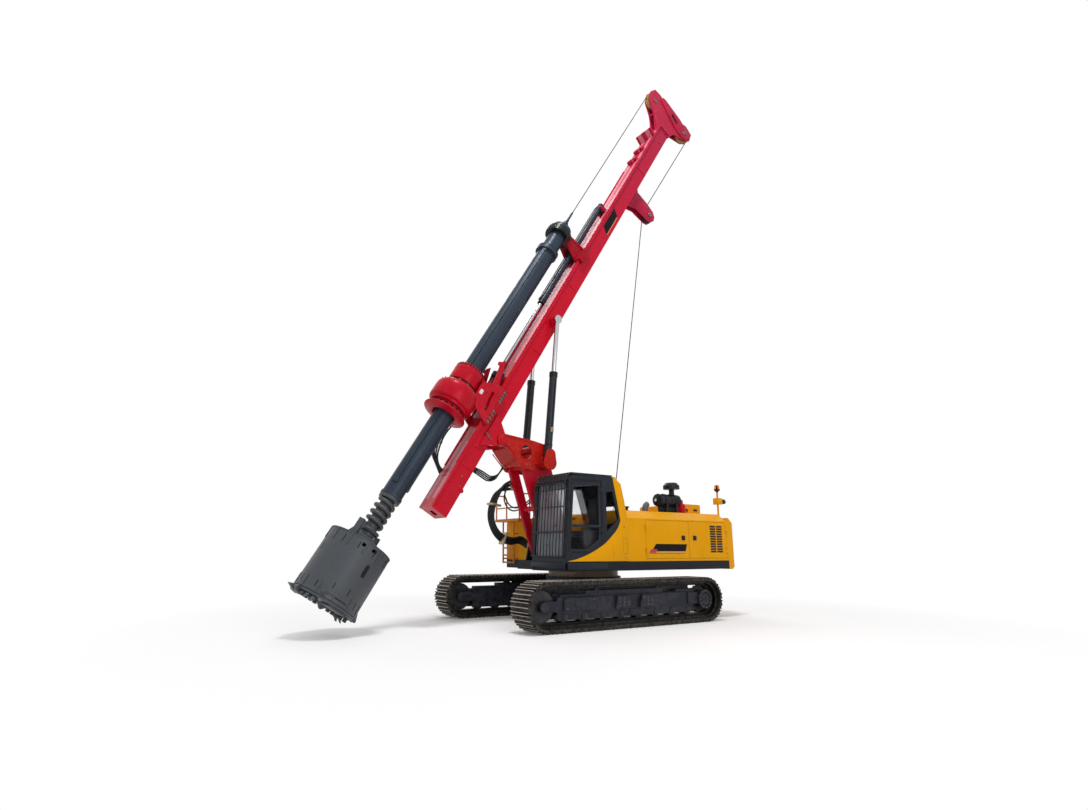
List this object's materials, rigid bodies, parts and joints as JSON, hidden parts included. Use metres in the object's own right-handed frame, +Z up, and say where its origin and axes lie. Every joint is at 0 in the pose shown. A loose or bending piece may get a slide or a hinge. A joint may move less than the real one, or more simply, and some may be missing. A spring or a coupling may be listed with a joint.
{
  "type": "rotary drilling rig",
  "caption": "Crawler-mounted rotary piling rig with a slewing cab and engine house, luffing linkage, leaning mast, rotary head, kelly bar and drilling bucket.",
  "frame": {"origin": "on the ground under the slew axis", "axes": "+X forward, to the drilling side, +Y to the cab's side, +Z up along the slew axis"},
  "size_m": [10.6981, 3.69, 14.4571],
  "materials": {
    "shoe_steel": "worn",
    "frame_paint": "satin",
    "wheel_steel": "worn",
    "ring_steel": "greased",
    "charcoal_paint": "satin",
    "yellow_paint": "gloss",
    "orange_paint": "satin",
    "black_paint": "gloss",
    "engine_iron": "matt",
    "window_glass": "clear",
    "seat_fabric": "woven",
    "red_paint": "gloss",
    "orange_red_paint": "gloss",
    "rod_chrome": "polished",
    "sheave_steel": "worn",
    "kelly_steel": "satin",
    "bucket_steel": "matt",
    "rope_steel": "greased"
  },
  "bodies": {
    "undercarriage": {"track_left": "shoe_steel", "track_right": "shoe_steel", "track_frame_left": "frame_paint", "track_frame_right": "frame_paint", "sprockets": "wheel_steel", "idlers": "wheel_steel", "rollers": "wheel_steel", "carbody": "frame_paint", "slew_ring": "ring_steel"},
    "upper": {"platform": "charcoal_paint", "counterweight": "yellow_paint", "hood": "yellow_paint", "engine_block": "engine_iron", "air_cleaner": "black_paint", "exhaust": "engine_iron", "roof_box": "yellow_paint", "beacon_post": "yellow_paint", "side_box": "yellow_paint", "ladder": "orange_paint", "cab_shell": "charcoal_paint", "cab_glass": "window_glass", "cab_guard": "black_paint", "seat": "seat_fabric", "winch_frame": "red_paint"},
    "cab_door": {"cab_door": "charcoal_paint", "door_glass": "window_glass"},
    "door_left_front": {"door_left_front": "yellow_paint"},
    "door_left_rear": {"door_left_rear": "yellow_paint"},
    "door_right_front": {"door_right_front": "yellow_paint"},
    "door_right_rear": {"door_right_rear": "yellow_paint"},
    "winch_drum": {"winch_drum": "wheel_steel"},
    "luff_arm": {"luff_arm": "red_paint"},
    "front_link": {"front_link": "red_paint"},
    "triangle": {"triangle": "orange_red_paint", "rope_tail": "rope_steel"},
    "luff_barrel": {"luff_barrel": "black_paint"},
    "luff_rod": {"luff_rod": "rod_chrome"},
    "mast_barrels": {"mast_barrels": "black_paint"},
    "mast_rods": {"mast_rods": "rod_chrome"},
    "mast": {"mast": "red_paint", "crown": "red_paint", "guide_bracket": "red_paint", "crowd_barrel": "black_paint", "rope_crown": "rope_steel"},
    "sheave_front": {"sheave_front": "sheave_steel"},
    "sheave_rear": {"sheave_rear": "sheave_steel"},
    "sheave_guide": {"sheave_guide": "wheel_steel"},
    "rotary_head": {"rotary_head": "red_paint", "head_sled": "red_paint", "head_motors": "black_paint", "crowd_rod": "rod_chrome"},
    "drive_sleeve": {"drive_sleeve": "red_paint"},
    "kelly_guide": {"kelly_guide": "red_paint", "kelly_swivel": "kelly_steel", "rope_kelly": "rope_steel"},
    "kelly": {"kelly_bar": "kelly_steel", "kelly_foot": "kelly_steel", "bucket_shell": "bucket_steel"},
    "bucket_floor": {"bucket_floor": "bucket_steel"}
  },
  "joints": [
    {"name": "slew", "type": "hinge", "parent": "undercarriage", "child": "upper", "pos_m": [0, 0, 0], "axis": [0, 0, 1], "continuous": true},
    {"name": "cab_door_hinge", "type": "hinge", "parent": "upper", "child": "cab_door", "pos_m": [0.723, 1.524, 1.645], "axis": [0, 0, 1], "range_deg": [0, 150]},
    {"name": "door_left_front_hinge", "type": "hinge", "parent": "upper", "child": "door_left_front", "pos_m": [-0.47, 1.524, 1.645], "axis": [0, 0, -1], "range_deg": [0, 100]},
    {"name": "door_left_rear_hinge", "type": "hinge", "parent": "upper", "child": "door_left_rear", "pos_m": [-3.001, 1.524, 1.645], "axis": [0, 0, 1], "range_deg": [0, 100]},
    {"name": "door_right_front_hinge", "type": "hinge", "parent": "upper", "child": "door_right_front", "pos_m": [-0.47, -1.524, 1.645], "axis": [0, 0, 1], "range_deg": [0, 100]},
    {"name": "door_right_rear_hinge", "type": "hinge", "parent": "upper", "child": "door_right_rear", "pos_m": [-3.001, -1.524, 1.645], "axis": [0, 0, -1], "range_deg": [0, 100]},
    {"name": "winch_turn", "type": "hinge", "parent": "upper", "child": "winch_drum", "pos_m": [-0.6, 0, 1.95], "axis": [0, 1, 0], "continuous": true},
    {"name": "luff", "type": "hinge", "parent": "upper", "child": "luff_arm", "pos_m": [0.71, 0, 1.6], "axis": [0, 1, 0], "range_deg": [-25, 8], "deforming": ["rope_tail"]},
    {"name": "front_link_turn", "type": "hinge", "parent": "upper", "child": "front_link", "pos_m": [1.14, 0, 1.46], "axis": [0, 1, 0], "range_deg": [-26, 9]},
    {"name": "triangle_level", "type": "hinge", "parent": "luff_arm", "child": "triangle", "pos_m": [1.27, 0, 3.33], "axis": [0, 1, 0], "range_deg": [-9, 26]},
    {"name": "luff_barrel_turn", "type": "hinge", "parent": "upper", "child": "luff_barrel", "pos_m": [0.05, 0, 1.42], "axis": [0, 1, 0], "range_deg": [-17.74, 6.36]},
    {"name": "luff_rod_slide", "type": "slide", "parent": "luff_barrel", "child": "luff_rod", "axis": [0.6112, 0, 0.7915], "range_m": [-0.2118, 0.0746]},
    {"name": "mast_tilt", "type": "hinge", "parent": "triangle", "child": "mast", "pos_m": [2.3, 0, 3.7], "axis": [0, 1, 0], "range_deg": [-58, 37], "deforming": ["rope_tail"]},
    {"name": "mast_barrel_turn", "type": "hinge", "parent": "triangle", "child": "mast_barrels", "pos_m": [1.25, 0, 3.45], "axis": [0, 1, 0], "range_deg": [-60.07, 38.68]},
    {"name": "mast_rod_slide", "type": "slide", "parent": "mast_barrels", "child": "mast_rods", "axis": [-0.1018, 0, 0.9948], "range_m": [-0.9688, 0.6217]},
    {"name": "sheave_front_turn", "type": "hinge", "parent": "mast", "child": "sheave_front", "pos_m": [-2.96594, 0, 14.08794], "axis": [0, 1, 0], "continuous": true},
    {"name": "sheave_rear_turn", "type": "hinge", "parent": "mast", "child": "sheave_rear", "pos_m": [-4.06331, 0, 13.4494], "axis": [0, 1, 0], "continuous": true},
    {"name": "sheave_guide_turn", "type": "hinge", "parent": "mast", "child": "sheave_guide", "pos_m": [-2.51176, 0, 10.36254], "axis": [0, 1, 0], "continuous": true},
    {"name": "crowd", "type": "slide", "parent": "mast", "child": "rotary_head", "axis": [-0.5299, 0, 0.848], "range_m": [-1, 2]},
    {"name": "sleeve_turn", "type": "hinge", "parent": "rotary_head", "child": "drive_sleeve", "pos_m": [3.39313, 0, 4.38307], "axis": [-0.5299, 0, 0.848], "continuous": true},
    {"name": "hoist", "type": "slide", "parent": "mast", "child": "kelly_guide", "axis": [-0.5299, 0, 0.848], "range_m": [-3.4, 1.2], "deforming": ["rope_kelly"]},
    {"name": "kelly_spin", "type": "hinge", "parent": "kelly_guide", "child": "kelly", "pos_m": [3.39313, 0, 4.38307], "axis": [-0.5299, 0, 0.848], "continuous": true},
    {"name": "bucket_floor_hinge", "type": "hinge", "parent": "kelly", "child": "bucket_floor", "pos_m": [5.23767, 0, 0.22346], "axis": [0, 1, 0], "range_deg": [0, 85]}
  ],
  "couplings": [
    {"joint": "front_link_turn", "follows": "luff", "ratio": 1},
    {"joint": "triangle_level", "follows": "luff", "ratio": -1},
    {"joint": "luff_barrel_turn", "follows": "luff", "ratio": 0.6697},
    {"joint": "luff_rod_slide", "follows": "luff", "m_per_rad": 0.4625},
    {"joint": "mast_barrel_turn", "follows": "mast_tilt", "ratio": 1.0185},
    {"joint": "mast_rod_slide", "follows": "mast_tilt", "m_per_rad": 0.9472},
    {"joint": "sleeve_turn", "follows": "kelly_spin", "ratio": 1}
  ]
}
